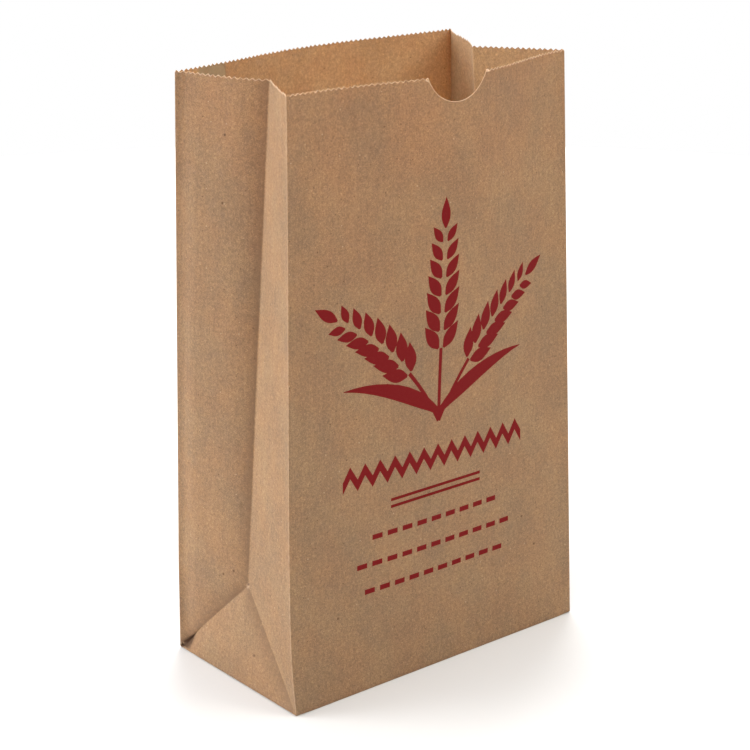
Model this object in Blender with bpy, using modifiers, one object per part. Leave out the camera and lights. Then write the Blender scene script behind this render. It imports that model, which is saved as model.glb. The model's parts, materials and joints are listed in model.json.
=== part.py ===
# Paper lunch bag, standing open: one folded sheet with side gussets and a block bottom.
# Metres, +Z up. The front faces -Y and the back faces +Y.
# The origin is the middle of the base, on the surface that the bag stands on.
# The sheet is cut flat, with its pinked edge and thumb notch, and then folded up.

import math
from collections import namedtuple

import bmesh
import bpy
from mathutils import Matrix, Vector
from mathutils.geometry import delaunay_2d_cdt

# Size of the bag when it stands open
WIDTH = 0.166
DEPTH = 0.089
HEIGHT = 0.270
PAPER = 0.0001

# Mouth: the front and back bow out, and the gussets draw the corners together
FRONT_BOW = 0.013
FRONT_BOW_SKEW = 1.2
BACK_BOW = 0.0085
MOUTH_PINCH = 0.0135
MOUTH_TWIST = math.radians(3.8)
MOUTH_SHEAR = 0.0044
MOUTH_SHIFT = Vector((-0.0013, 0.0005, 0.0))
BOW_RISE = 1.5

# Gussets: the middle crease runs from the mouth down to the fork of the bottom folds
GUSSET_CURL = 0.0011
GUSSET_SWING = 0.0008
FORK_PUSH = 0.0082
KNEE = 0.00145

# Pinked edge and thumb notch
TOOTH_PITCH = 0.0026
TOOTH_DEPTH = 0.0010
NOTCH_WIDTH = 0.0324
NOTCH_DEPTH = 0.0115
NOTCH_SHIFT = 0.002
NOTCH_STEPS = 18

# Glued seam up the back, measured from the back left corner
SEAM_INSET = 0.014
SEAM_LAP = 0.016
SEAM_EASE = 0.015

# Bottom: the front flap lies over the back flap, and both lie over the end flaps
FLAP_LAP = 0.016
FLAP_LAYERS = 3

# Spacing of the points over the sheet, the finer band under the pinked edge,
# and the room that the other points leave around cut edges and creases
GRID = 0.0115
BAND = 0.0045
EDGE_ROOM = 0.0027
CREASE_ROOM = 0.0046

# Sizes that follow from those above
WALL_HEIGHT = HEIGHT - FLAP_LAYERS * PAPER
FLOOR_UNDERSIDE = FLAP_LAYERS * PAPER
HALF_GUSSET = DEPTH / 2
FLAP_LENGTH = DEPTH / 2 + FLAP_LAP / 2
WELD = 1e-6

KRAFT_COLOUR = (0.38, 0.22, 0.12, 1.0)
KRAFT_ROUGHNESS = 0.85


def clear_scene():
    for old in list(bpy.data.objects):
        bpy.data.objects.remove(old, do_unlink=True)


def paper_material():
    material = bpy.data.materials.new("kraft_paper")
    material.use_nodes = True
    shader = material.node_tree.nodes["Principled BSDF"]
    shader.inputs["Base Color"].default_value = KRAFT_COLOUR
    shader.inputs["Roughness"].default_value = KRAFT_ROUGHNESS
    shader.inputs["Metallic"].default_value = 0.0
    return material


# The folded shape

def upright(length, run):
    """Height that a straight edge of this length reaches when its top has moved by run."""
    return math.sqrt(length ** 2 - run ** 2)


def chord(arc, bow):
    """Straight distance between the ends of a panel's edge that bows out."""
    return arc - (math.pi * bow) ** 2 / (4 * arc)


def bell(share, skew=1.0):
    """Shape of a bowed edge, 0 at both corners and 1 near the middle."""
    return math.sin(math.pi * share ** skew) ** 2


def base_corners():
    x = WIDTH / 2
    y = DEPTH / 2
    plan = {
        "front_left": (-x, -y),
        "front_right": (x, -y),
        "back_right": (x, y),
        "back_left": (-x, y),
    }
    return {name: Vector((*place, FLOOR_UNDERSIDE)) for name, place in plan.items()}


def mouth_corners():
    front = chord(WIDTH, FRONT_BOW) / 2
    back = chord(WIDTH, BACK_BOW) / 2
    y = (DEPTH - MOUTH_PINCH) / 2
    lean = MOUTH_SHEAR / 2
    plan = {
        "front_left": (-front - lean, -y),
        "front_right": (front - lean, -y),
        "back_right": (back + lean, y),
        "back_left": (-back + lean, y),
    }
    turn = Matrix.Rotation(MOUTH_TWIST, 3, "Z")
    corners = {}
    for name, place in plan.items():
        top = turn @ Vector((*place, 0.0)) + MOUTH_SHIFT
        run = (top - BASE[name]).xy.length
        top.z = FLOOR_UNDERSIDE + upright(WALL_HEIGHT, run)
        corners[name] = top
    return corners


def fork_points():
    """Where the gusset's middle crease meets the two slanting bottom creases."""
    rise = FLOOR_UNDERSIDE + upright(HALF_GUSSET, FORK_PUSH)
    x = WIDTH / 2 - FORK_PUSH
    return {"left": Vector((-x, 0.0, rise)), "right": Vector((x, 0.0, rise))}


def gusset_tops():
    """Top of each gusset's middle crease, half a gusset away from both corners."""
    tops = {}
    for side, sign in (("left", 1), ("right", -1)):
        front = MOUTH["front_" + side]
        back = MOUTH["back_" + side]
        span = (back - front).xy
        inward = Vector((span.y, -span.x)).normalized() * sign
        reach = upright(HALF_GUSSET - GUSSET_CURL, span.length / 2)
        place = (front.xy + back.xy) / 2 + inward * reach
        run = (place - FORK[side].xy).length
        rise = upright(WALL_HEIGHT - HALF_GUSSET, run)
        tops[side] = Vector((*place, FORK[side].z + rise))
    return tops


BASE = base_corners()
MOUTH = mouth_corners()
FORK = fork_points()
GUSSET_TOP = gusset_tops()


def knee(name, height):
    """How far a corner edge stands out. It is most at the fork, with a crease at the back."""
    below = min(height / HALF_GUSSET, 1.0)
    above = max((height - HALF_GUSSET) / (WALL_HEIGHT - HALF_GUSSET), 0.0)
    if name.startswith("back"):
        return KNEE * below * (1 - above)
    return KNEE * below * (2 - below) * ease_out(above)


def ease_out(share):
    """Falls smoothly from 1 to 0 as the share goes from 0 to 1."""
    return (1 - share) ** 2 * (1 + 2 * share)


def corner_edge(name, height):
    """Point of a vertical corner edge at this height of the sheet."""
    point = BASE[name].lerp(MOUTH[name], height / WALL_HEIGHT)
    to_side = math.copysign(1, BASE[name].x)
    to_middle = -math.copysign(1, BASE[name].y)
    return point + Vector((to_side, to_middle, 0.0)) * knee(name, height)


def middle_crease(side, height):
    """Point of a gusset's middle crease, above the fork."""
    share = (height - HALF_GUSSET) / (WALL_HEIGHT - HALF_GUSSET)
    return FORK[side].lerp(GUSSET_TOP[side], share)


def seam_lift(along):
    """How far the back panel stands out where its outer edge lies over the inner one."""
    from_left = WIDTH - along
    if from_left < SEAM_INSET + WELD:
        return 0.0
    past = max(from_left - SEAM_INSET - SEAM_LAP, 0.0) / SEAM_EASE
    return PAPER * ease_out(min(past, 1.0))


def is_doubled(flat):
    """Whether the back panel has two layers here."""
    from_left = WIDTH - flat.x
    return flat.y > WELD and SEAM_INSET + WELD < from_left < SEAM_INSET + SEAM_LAP + WELD


def bowed_panel(left, right, bow, skew, along, height):
    """Point between two corner edges, on a sheet that bows out towards the mouth."""
    start = corner_edge(left, height)
    end = corner_edge(right, height)
    share = along / WIDTH
    span = (end - start).normalized()
    outward = Vector((span.y, -span.x, 0.0))
    out = bow * bell(share, skew) * (height / WALL_HEIGHT) ** BOW_RISE
    if left == "back_right" and height > WELD:
        out += seam_lift(along)
    return start.lerp(end, share) + outward * out


def front_panel(along, height):
    return bowed_panel("front_left", "front_right", FRONT_BOW, FRONT_BOW_SKEW, along, height)


def back_panel(along, height):
    return bowed_panel("back_right", "back_left", BACK_BOW, 1.0, along, height)


def gusset_foot(first, last, side, along, height):
    """Point of a gusset below the fork: a standing triangle between two folded ones."""
    if height < WELD:
        return BASE[first].lerp(BASE[last], along / DEPTH)
    near = BASE[first].lerp(FORK[side], height / HALF_GUSSET)
    far = BASE[last].lerp(FORK[side], height / HALF_GUSSET)
    if along < height:
        return corner_edge(first, height).lerp(near, along / height)
    if along > DEPTH - height:
        return far.lerp(corner_edge(last, height), (along - DEPTH + height) / height)
    if DEPTH - 2 * height < WELD:
        return FORK[side].copy()
    return near.lerp(far, (along - height) / (DEPTH - 2 * height))


def gusset_panel(first, last, side, along, height):
    """Point of a gusset, which is folded inwards along its middle crease."""
    if height <= HALF_GUSSET:
        return gusset_foot(first, last, side, along, height)
    crease = middle_crease(side, height)
    name = first if along <= HALF_GUSSET else last
    corner = corner_edge(name, height)
    from_crease = abs(along - HALF_GUSSET) / HALF_GUSSET
    point = crease.lerp(corner, from_crease)
    if name.startswith("back"):
        span = (corner - crease).normalized()
        turn = 1 if side == "left" else -1
        across = Vector((-span.y, span.x, 0.0)) * turn
        rise = (height - HALF_GUSSET) / (WALL_HEIGHT - HALF_GUSSET)
        point += across * GUSSET_SWING * math.sin(math.tau * from_crease) * rise
    return point


def right_gusset(along, height):
    return gusset_panel("front_right", "back_right", "right", along, height)


def left_gusset(along, height):
    return gusset_panel("back_left", "front_left", "left", along, height)


# The flat sheet

def steps(start, stop, spacing):
    """Evenly spaced values from start to stop, both included."""
    count = max(1, round((stop - start) / spacing))
    return [start + (stop - start) * i / count for i in range(count + 1)]


def row_heights():
    """Heights of the rows of points: they keep one row at the fork."""
    below = steps(0.0, HALF_GUSSET, GRID)
    above = steps(HALF_GUSSET, WALL_HEIGHT - TOOTH_DEPTH - BAND, GRID)
    return below + above[1:]


ROWS = row_heights()


def pinked_edge(width):
    """Points of the zigzag cut from left to right, with a valley at both ends."""
    count = max(1, round(width / TOOTH_PITCH))
    points = []
    for i in range(2 * count + 1):
        depth = TOOTH_DEPTH if i % 2 == 0 else 0.0
        points.append(Vector((width * i / (2 * count), WALL_HEIGHT - depth)))
    return points


def notch_arc():
    """The thumb notch, a shallow arc from left to right."""
    radius = (NOTCH_WIDTH ** 2 / 4 + NOTCH_DEPTH ** 2) / (2 * NOTCH_DEPTH)
    half_angle = math.asin(NOTCH_WIDTH / 2 / radius)
    if NOTCH_DEPTH > NOTCH_WIDTH / 2:
        half_angle = math.pi - half_angle
    centre = Vector((WIDTH / 2 + NOTCH_SHIFT, WALL_HEIGHT - NOTCH_DEPTH + radius))
    arc = []
    for i in range(NOTCH_STEPS + 1):
        angle = half_angle * (2 * i / NOTCH_STEPS - 1)
        arc.append(centre + radius * Vector((math.sin(angle), -math.cos(angle))))
    return arc


def notched_edge():
    """The front's cut edge: teeth, the thumb notch, and teeth again."""
    arc = notch_arc()
    clear = TOOTH_PITCH / 4
    teeth = pinked_edge(WIDTH)
    before = [p for p in teeth if p.x < arc[0].x - clear]
    after = [p for p in teeth if p.x > arc[-1].x + clear]
    return before + arc + after


def outline(width, cut_edge):
    """Closed outline of a flat panel, anticlockwise from the lower left."""
    bottom = [Vector((x, 0.0)) for x in steps(0.0, width, GRID)]
    right = [Vector((width, y)) for y in ROWS[1:]]
    left = [Vector((0.0, y)) for y in reversed(ROWS[1:])]
    return bottom + right + list(reversed(cut_edge)) + left


def inner_points(width, cut_edge):
    """Grid of points inside a flat panel, with a finer row under the cut edge."""
    rows = [(y, GRID) for y in ROWS[1:-1]]
    rows.append((ROWS[-1], GRID / 2))
    points = []
    for height, spacing in rows:
        for x in steps(0.0, width, spacing)[1:-1]:
            point = Vector((x, height))
            if is_under_edge(point, cut_edge):
                points.append(point)
    return points


def is_under_edge(point, cut_edge):
    """Whether a point lies under the cut edge, with some room."""
    if min((point - cut).length for cut in cut_edge) < EDGE_ROOM:
        return False
    for first, second in zip(cut_edge, cut_edge[1:]):
        if first.x <= point.x < second.x:
            share = (point.x - first.x) / (second.x - first.x)
            return point.y < first.lerp(second, share).y - EDGE_ROOM
    return True


def seam_lines():
    """Lines up the back panel where the seam's two cut edges lie."""
    lines = []
    for from_left in (SEAM_INSET, SEAM_INSET + SEAM_LAP):
        for step in (0.0, PAPER):
            x = WIDTH - from_left - step
            lines.append([Vector((x, y)) for y in ROWS + [WALL_HEIGHT]])
    return lines


def gusset_lines():
    """Creases of a flat gusset: the two arms of the fork, and the middle crease above it."""
    low = [y for y in ROWS if y <= HALF_GUSSET + WELD]
    high = [y for y in ROWS if y >= HALF_GUSSET - WELD]
    return [
        [Vector((y, y)) for y in low],
        [Vector((DEPTH - y, y)) for y in low],
        [Vector((HALF_GUSSET, y)) for y in high + [WALL_HEIGHT]],
    ]


def is_clear_of(point, lines):
    return all((point - mark).length > CREASE_ROOM for line in lines for mark in line)


def flat_panel(width, cut_edge, lines):
    """Corners and triangles of a flat panel, along its outline and its creases."""
    ring = outline(width, cut_edge)
    edges = [(i, (i + 1) % len(ring)) for i in range(len(ring))]
    points = list(ring)
    for line in lines:
        first = len(points)
        points += line
        edges += [(i, i + 1) for i in range(first, len(points) - 1)]
    points += [p for p in inner_points(width, cut_edge) if is_clear_of(p, lines)]
    inside = 1
    corners, _, faces, _, _, _ = delaunay_2d_cdt(points, edges, [], inside, WELD)
    return corners, faces


# The solid sheet

Panel = namedtuple("Panel", "width cut_edge lines fold has_seam")


def panels():
    """The four walls in turn, anticlockwise from the front left corner."""
    side = pinked_edge(DEPTH)
    creases = gusset_lines()
    return [
        Panel(WIDTH, notched_edge(), [], front_panel, False),
        Panel(DEPTH, side, creases, right_gusset, False),
        Panel(WIDTH, pinked_edge(WIDTH), seam_lines(), back_panel, True),
        Panel(DEPTH, side, creases, left_gusset, False),
    ]


def folded_walls():
    """Open surface of the four walls, folded up from their flat panels."""
    mesh = bmesh.new()
    doubled = mesh.verts.layers.deform.verify()
    for panel in panels():
        corners, faces = flat_panel(panel.width, panel.cut_edge, panel.lines)
        verts = []
        for flat in corners:
            vert = mesh.verts.new(panel.fold(flat.x, flat.y))
            if panel.has_seam and is_doubled(flat):
                vert[doubled][0] = 1.0
            verts.append(vert)
        for face in faces:
            mesh.faces.new([verts[i] for i in face])
    bmesh.ops.remove_doubles(mesh, verts=mesh.verts, dist=WELD)
    return mesh


def add_floor(mesh):
    """Close the walls underneath with one flat face that looks down."""
    low = FLOOR_UNDERSIDE + WELD
    foot = [e for e in mesh.edges if all(v.co.z < low for v in e.verts)]
    floor = bmesh.ops.contextual_create(mesh, geom=foot)["faces"][0]
    floor.normal_update()
    if floor.normal.z > 0:
        floor.normal_flip()


def build_sheet(collection):
    mesh = folded_walls()
    add_floor(mesh)
    data = bpy.data.meshes.new("paper_bag")
    mesh.to_mesh(data)
    mesh.free()
    bag = bpy.data.objects.new("paper_bag", data)
    collection.objects.link(bag)
    bag.vertex_groups.new(name="doubled")
    shell = bag.modifiers.new("paper_thickness", "SOLIDIFY")
    shell.thickness = 2 * PAPER
    shell.offset = -1.0
    shell.use_even_offset = True
    shell.vertex_group = "doubled"
    shell.thickness_vertex_group = 0.5
    bag.data.materials.append(paper_material())
    return bag


def flap(name, corners, low, high, collection):
    """Glued flap of the bottom: a flat outline with its thickness."""
    data = bpy.data.meshes.new(name)
    data.from_pydata([(x, y, low) for x, y in corners], [], [range(len(corners))])
    plate = bpy.data.objects.new(name, data)
    collection.objects.link(plate)
    thickness = plate.modifiers.new("thickness", "SOLIDIFY")
    thickness.thickness = high - low
    thickness.offset = 1.0
    plate.hide_render = True
    plate.display_type = "WIRE"
    return plate


def bottom_flaps(collection):
    """The layers of the block bottom, from the outermost flap to the end flaps inside."""
    tuck = PAPER / 2
    x_out = WIDTH / 2 - tuck
    y_out = DEPTH / 2 - tuck
    x_in = WIDTH / 2 - FLAP_LENGTH
    y_in = FLAP_LENGTH - DEPTH / 2
    glued = FLOOR_UNDERSIDE + tuck
    front = [(-x_out, -y_out), (x_out, -y_out), (x_in, y_in), (-x_in, y_in)]
    back = [(x_out, y_out), (-x_out, y_out), (-x_in, -y_in), (x_in, -y_in)]
    flaps = [
        flap("front_flap", front, 0.0, glued, collection),
        flap("back_flap", back, PAPER, glued, collection),
    ]
    inside = FLOOR_UNDERSIDE + 2 * PAPER
    for name, sign in (("left_end_flap", -1), ("right_end_flap", 1)):
        near = sign * x_in
        far = sign * x_out
        end = [(near, -y_out * sign), (far, -y_out * sign), (far, y_out * sign), (near, y_out * sign)]
        flaps.append(flap(name, end, glued, inside, collection))
    return flaps


def glue(bag, flaps):
    for plate in flaps:
        join = bag.modifiers.new("glued_" + plate.name, "BOOLEAN")
        join.operation = "UNION"
        join.solver = "EXACT"
        join.object = plate


def main():
    clear_scene()
    collection = bpy.data.collections.new("lunch_bag")
    tools = bpy.data.collections.new("bottom_layers")
    bpy.context.scene.collection.children.link(collection)
    bpy.context.scene.collection.children.link(tools)
    bag = build_sheet(collection)
    glue(bag, bottom_flaps(tools))


main()
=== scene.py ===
# Paper lunch bag, dressed: one sheet with a pinked cut edge, folded round to a lapped seam
# up the back and a block bottom, with its fibres, its worn folds with painted shade and highlights,
# and a generic print.
# Metres, +Z up, in the part's own frame. The front faces -Y.
# A place on a panel is (along, height) on the flat sheet; heights below 0 lie on its flap.

import json
import math
from collections import namedtuple

import bpy
import numpy as np
from mathutils import Matrix, Vector, noise
from mathutils.geometry import delaunay_2d_cdt

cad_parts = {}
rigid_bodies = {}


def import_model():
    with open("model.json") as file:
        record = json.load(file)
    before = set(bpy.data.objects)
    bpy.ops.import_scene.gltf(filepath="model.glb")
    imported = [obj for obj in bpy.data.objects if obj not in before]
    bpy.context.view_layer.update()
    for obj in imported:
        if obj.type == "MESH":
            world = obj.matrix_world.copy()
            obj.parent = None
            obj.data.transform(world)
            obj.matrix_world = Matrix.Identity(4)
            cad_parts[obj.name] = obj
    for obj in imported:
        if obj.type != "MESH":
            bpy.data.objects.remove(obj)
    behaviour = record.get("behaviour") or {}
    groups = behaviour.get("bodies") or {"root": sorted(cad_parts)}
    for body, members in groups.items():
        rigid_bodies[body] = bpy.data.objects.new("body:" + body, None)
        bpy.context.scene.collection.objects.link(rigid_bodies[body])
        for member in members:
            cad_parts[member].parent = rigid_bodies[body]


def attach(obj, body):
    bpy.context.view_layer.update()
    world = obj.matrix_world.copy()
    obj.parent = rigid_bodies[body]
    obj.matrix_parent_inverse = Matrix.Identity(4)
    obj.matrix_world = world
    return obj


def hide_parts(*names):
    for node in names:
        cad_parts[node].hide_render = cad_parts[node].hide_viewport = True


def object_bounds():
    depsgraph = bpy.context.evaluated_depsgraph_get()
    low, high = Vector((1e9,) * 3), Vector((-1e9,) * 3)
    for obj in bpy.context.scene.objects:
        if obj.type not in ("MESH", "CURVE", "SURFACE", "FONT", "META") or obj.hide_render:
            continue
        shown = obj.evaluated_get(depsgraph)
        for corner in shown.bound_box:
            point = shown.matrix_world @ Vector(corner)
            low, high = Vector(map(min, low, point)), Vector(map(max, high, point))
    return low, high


for old in list(bpy.data.objects):
    bpy.data.objects.remove(old, do_unlink=True)
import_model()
cad_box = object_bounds()

# Size of the bag when it stands open, as in the part
WIDTH = 0.166
DEPTH = 0.089
HEIGHT = 0.270
PAPER = 0.0001

# Mouth: the front and back bow out, and the gussets draw the corners together
FRONT_BOW = 0.013
FRONT_BOW_SKEW = 1.2
BACK_BOW = 0.0085
MOUTH_PINCH = 0.0135
MOUTH_TWIST = math.radians(3.8)
MOUTH_SHEAR = 0.0044
MOUTH_SHIFT = Vector((-0.0013, 0.0005, 0.0))
BOW_RISE = 1.5

# Gussets: the middle crease runs from the mouth down to the fork of the bottom folds
GUSSET_CURL = 0.0011
GUSSET_SWING = 0.0008
FORK_PUSH = 0.0082
KNEE = 0.00145

# Pinked edge and thumb notch
TOOTH_PITCH = 0.0026
TOOTH_DEPTH = 0.0010
NOTCH_WIDTH = 0.0324
NOTCH_DEPTH = 0.0115
NOTCH_SHIFT = 0.002
NOTCH_STEPS = 40

# Glued seam up the back, measured from the back left corner
SEAM_INSET = 0.014
SEAM_LAP = 0.016
SEAM_EASE = 0.015

# Bottom: the front flap lies under the back flap, and the end flaps lie on both
FLAP_LAP = 0.016
FLAP_LAYERS = 3
END_FLAP_TUCK = 0.0005
CORNER_EASE = 0.012
FOOT_EASE = 0.020

# Radius that each crease is bent to, and the shares of it at which places are taken
CORNER_RADIUS = {
    "front_left": 0.0004,
    "front_right": 0.0006,
    "back_right": 0.0007,
    "back_left": 0.0010,
}
VALLEY_RADIUS = 0.0006
FOOT_RADIUS = 0.0006
BEND_STEPS = (-1.0, -0.5, 0.0, 0.5, 1.0)
CORNER_STEPS = (0.25, 0.5, 0.75, 1.0)
FLAP_STEPS = (0.5, 1.0)

# Waves of the walls, and the swelling of the gussets beside their valley creases
WAVE_LENGTH = 0.055
WAVE_HEIGHT = 0.0007
RIPPLE_LENGTH = 0.016
RIPPLE_HEIGHT = 0.00012
FREE_ROOM = 0.014
SWELL_FOOT = 0.0022
SWELL_MIDDLE = 0.0014
SWELL_MOUTH = {"left": 0.0018, "right": 0.0004}
SWELL_REACH = 0.0055
PINCH = 0.0003
PINCH_AT_REAR = 0.0007
PINCH_AT_FOOT = 1.6
PINCH_FOOT_ROOM = 0.10
PINCH_REACH = 0.005
# Stretch of the distance for the painted shade beside the valley creases: towards the mouth, and
# beside the front arm
HOLLOW_SHADE_OPENS = 0.7
HOLLOW_SHADE_AT_ARM = 0.7
TOOTH_CURL = 0.0006
TOOTH_CURL_ROOM = 0.004
TOOTH_SPREAD = 0.20
TOOTH_VARIETY = 1.7

# Pocket where the left gusset's rear fold meets the bottom
POCKET_DEPTH = 0.0028
POCKET_PLACE = 0.0034
POCKET_REACH = 0.0052
POCKET_BELOW = 0.0032
POCKET_ABOVE = 0.0005

# Soft creases that handling has left: each one's height, and the places it runs through
SOFT_CREASES = {
    "left": (
        (0.00035, ((0.001, 0.0460), (0.018, 0.0460), (0.043, 0.0446))),
        (0.00025, ((0.043, 0.020), (0.044, 0.003))),
    ),
    "front": (
        (0.00025, ((0.006, 0.088), (0.033, 0.080))),
        (-0.00025, ((0.115, 0.042), (0.115, 0.012))),
    ),
}
SOFT_REACH = 0.0024
SOFT_ROOM = 0.004

# Thickness of the sheet, a little less than the room for each layer
SHEET = 0.95 * PAPER

# Sizes that follow from those above
WALL_HEIGHT = HEIGHT - FLAP_LAYERS * PAPER
FLOOR_UNDERSIDE = FLAP_LAYERS * PAPER
HALF_GUSSET = DEPTH / 2
FLAP_LENGTH = DEPTH / 2 + FLAP_LAP / 2
GRID = HALF_GUSSET / 16
CLEAR_OF_EDGE = GRID / 3
CLEAR_OF_LINE = GRID / 4
WELD = 1e-6
LINE_TOP = WALL_HEIGHT - TOOTH_DEPTH - WELD
FAR = 0.05


# The folded shape

def upright(length, run):
    """Height that a straight edge of this length reaches when its top has moved by run."""
    return math.sqrt(length ** 2 - run ** 2)


def chord(arc, bow):
    """Straight distance between the ends of a panel's edge that bows out."""
    return arc - (math.pi * bow) ** 2 / (4 * arc)


def clamp(value, low=0.0, high=1.0):
    return min(max(value, low), high)


def bell(share, skew):
    """Shape of a bowed edge, 0 at both corners and 1 near the middle."""
    return math.sin(math.pi * clamp(share) ** skew) ** 2


def ease_out(share):
    """Falls smoothly from 1 to 0 as the share goes from 0 to 1."""
    share = clamp(share)
    return (1 - share) ** 2 * (1 + 2 * share)


def ease_in(share):
    return 1 - ease_out(share)


# Gussets, each with the way along X from it to the bag's middle
GUSSETS = {"left": 1, "right": -1}

# Side of the bag's middle on which each upright edge stands, along X and Y
CORNERS = {
    "front_left": (-1, -1),
    "front_right": (1, -1),
    "back_right": (1, 1),
    "back_left": (-1, 1),
}


def base_corner(x, y):
    return Vector((x * WIDTH / 2, y * DEPTH / 2, FLOOR_UNDERSIDE))


def mouth_corners():
    half_widths = {-1: chord(WIDTH, FRONT_BOW) / 2, 1: chord(WIDTH, BACK_BOW) / 2}
    half_depth = (DEPTH - MOUTH_PINCH) / 2
    turn = Matrix.Rotation(MOUTH_TWIST, 3, "Z")
    corners = {}
    for name, (x, y) in CORNERS.items():
        place = Vector((x * half_widths[y] + y * MOUTH_SHEAR / 2, y * half_depth, 0.0))
        top = turn @ place + MOUTH_SHIFT
        run = (top - BASE[name]).xy.length
        top.z = FLOOR_UNDERSIDE + upright(WALL_HEIGHT, run)
        corners[name] = top
    return corners


def fork_points():
    """Where the gusset's middle crease meets the two slanting bottom creases."""
    rise = FLOOR_UNDERSIDE + upright(HALF_GUSSET, FORK_PUSH)
    x = WIDTH / 2 - FORK_PUSH
    return {side: Vector((-sign * x, 0.0, rise)) for side, sign in GUSSETS.items()}


def gusset_tops():
    """Top of each gusset's middle crease, half a gusset away from both corners."""
    tops = {}
    for side, sign in GUSSETS.items():
        front = MOUTH["front_" + side]
        back = MOUTH["back_" + side]
        span = (back - front).xy
        inward = Vector((span.y, -span.x)).normalized() * sign
        reach = upright(HALF_GUSSET - GUSSET_CURL, span.length / 2)
        place = (front.xy + back.xy) / 2 + inward * reach
        run = (place - FORK[side].xy).length
        rise = upright(WALL_HEIGHT - HALF_GUSSET, run)
        tops[side] = Vector((*place, FORK[side].z + rise))
    return tops


BASE = {name: base_corner(*sides) for name, sides in CORNERS.items()}
MOUTH = mouth_corners()
FORK = fork_points()
GUSSET_TOP = gusset_tops()


def above_fork(height):
    """Share of the way from the fork up to the mouth."""
    return (height - HALF_GUSSET) / (WALL_HEIGHT - HALF_GUSSET)


def knee(name, height):
    """How far a corner edge stands out. It is most at the fork, with a crease at the back."""
    below = min(height / HALF_GUSSET, 1.0)
    above = max(above_fork(height), 0.0)
    if name.startswith("back"):
        return KNEE * below * (1 - above)
    return KNEE * below * (2 - below) * ease_out(above)


def corner_edge(name, height):
    """Point of a vertical corner edge at this height of the sheet."""
    point = BASE[name].lerp(MOUTH[name], height / WALL_HEIGHT)
    x, y = CORNERS[name]
    return point + Vector((x, -y, 0.0)) * knee(name, height)


def middle_crease(side, height):
    """Point of a gusset's middle crease, above the fork."""
    return FORK[side].lerp(GUSSET_TOP[side], above_fork(height))


def seam_lift(along):
    """How far the outer end of the sheet stands out to lie over the inner end."""
    from_left = WIDTH - along
    return PAPER * ease_out((from_left - SEAM_INSET - SEAM_LAP) / SEAM_EASE)


def bowed_panel(name, along, height):
    """Point of the front or back between its corner edges, bowed out towards the mouth."""
    start, end = [corner_edge(corner, height) for corner in WALLS[name].corners]
    bow, skew = (FRONT_BOW, FRONT_BOW_SKEW) if name == "front" else (BACK_BOW, 1.0)
    share = along / WIDTH
    span = (end - start).normalized()
    outward = Vector((span.y, -span.x, 0.0))
    out = bow * bell(share, skew) * (height / WALL_HEIGHT) ** BOW_RISE
    point = start.lerp(end, share) + outward * out
    if name == "back":
        point += Vector((0.0, seam_lift(along), 0.0))
    return point


def gusset_foot(side, along, height):
    """Point of a gusset below the fork: a standing triangle between two folded ones."""
    first, last = WALLS[side].corners
    if height < WELD:
        return BASE[first].lerp(BASE[last], along / DEPTH)
    near = BASE[first].lerp(FORK[side], height / HALF_GUSSET)
    far = BASE[last].lerp(FORK[side], height / HALF_GUSSET)
    if along < height:
        return corner_edge(first, height).lerp(near, along / height)
    if along > DEPTH - height:
        return far.lerp(corner_edge(last, height), (along - DEPTH + height) / height)
    if DEPTH - 2 * height < WELD:
        return FORK[side].copy()
    return near.lerp(far, (along - height) / (DEPTH - 2 * height))


def gusset_panel(side, along, height):
    """Point of a gusset, which is folded inwards along its middle crease."""
    if height <= HALF_GUSSET:
        return gusset_foot(side, along, height)
    crease = middle_crease(side, height)
    name = WALLS[side].corners[0 if along <= HALF_GUSSET else 1]
    corner = corner_edge(name, height)
    from_crease = abs(along - HALF_GUSSET) / HALF_GUSSET
    point = crease.lerp(corner, from_crease)
    if name.startswith("back"):
        span = (corner - crease).normalized()
        across = Vector((-span.y, span.x, 0.0)) * GUSSETS[side]
        point += across * GUSSET_SWING * math.sin(math.tau * from_crease) * above_fork(height)
    return point


# The panels in their order on the sheet, from the end that is glued underneath

Wall = namedtuple("Wall", "fold width start corners outward layer seed")

BACK_CORNERS = ("back_right", "back_left")
WALLS = {
    "back_under": Wall(bowed_panel, WIDTH, -DEPTH - WIDTH, BACK_CORNERS, (0, 1, 0), 2, 3.7),
    "left": Wall(gusset_panel, DEPTH, -DEPTH, ("back_left", "front_left"), (-1, 0, 0), 3, 1.3),
    "front": Wall(bowed_panel, WIDTH, 0.0, ("front_left", "front_right"), (0, -1, 0), 0, 8.1),
    "right": Wall(gusset_panel, DEPTH, WIDTH, ("front_right", "back_right"), (1, 0, 0), 3, 5.9),
    "back": Wall(bowed_panel, WIDTH, WIDTH + DEPTH, BACK_CORNERS, (0, 1, 0), 1, 3.7),
}
ORDER = list(WALLS)


def from_corners(name, along):
    """A panel's corners, each with the distance of a place from its edge."""
    wall = WALLS[name]
    return zip(wall.corners, (along, wall.width - along))


def corner_distance(name, along):
    return min(along, WALLS[name].width - along)


def foot_level(name, along):
    """Height of a panel's outer foot: the flaps lie on each other, most layers at a corner."""
    less = FLAP_LAYERS - WALLS[name].layer
    return PAPER * (FLAP_LAYERS - less * ease_in(corner_distance(name, along) / CORNER_EASE))


def sharp_point(name, along, height):
    """Point of the sheet when every crease is folded sharp."""
    wall = WALLS[name]
    drop = FLOOR_UNDERSIDE - foot_level(name, along)
    if height >= 0:
        point = wall.fold(name, along, height)
        point.z -= drop * ease_out(height / FOOT_EASE)
        return point
    point = wall.fold(name, along, 0.0) + Vector(wall.outward) * height
    point.z -= drop
    return point


def neighbour(name, along, height):
    """The panel on which a place beyond a panel's corner falls, and the place there."""
    index = ORDER.index(name)
    width = WALLS[name].width
    if height < 0:
        return name, clamp(along, high=width), height
    if along < 0 and index > 0:
        before = ORDER[index - 1]
        return before, along + WALLS[before].width, height
    if along > width and index < len(ORDER) - 1:
        return ORDER[index + 1], along - width, height
    return name, along, height


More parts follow.
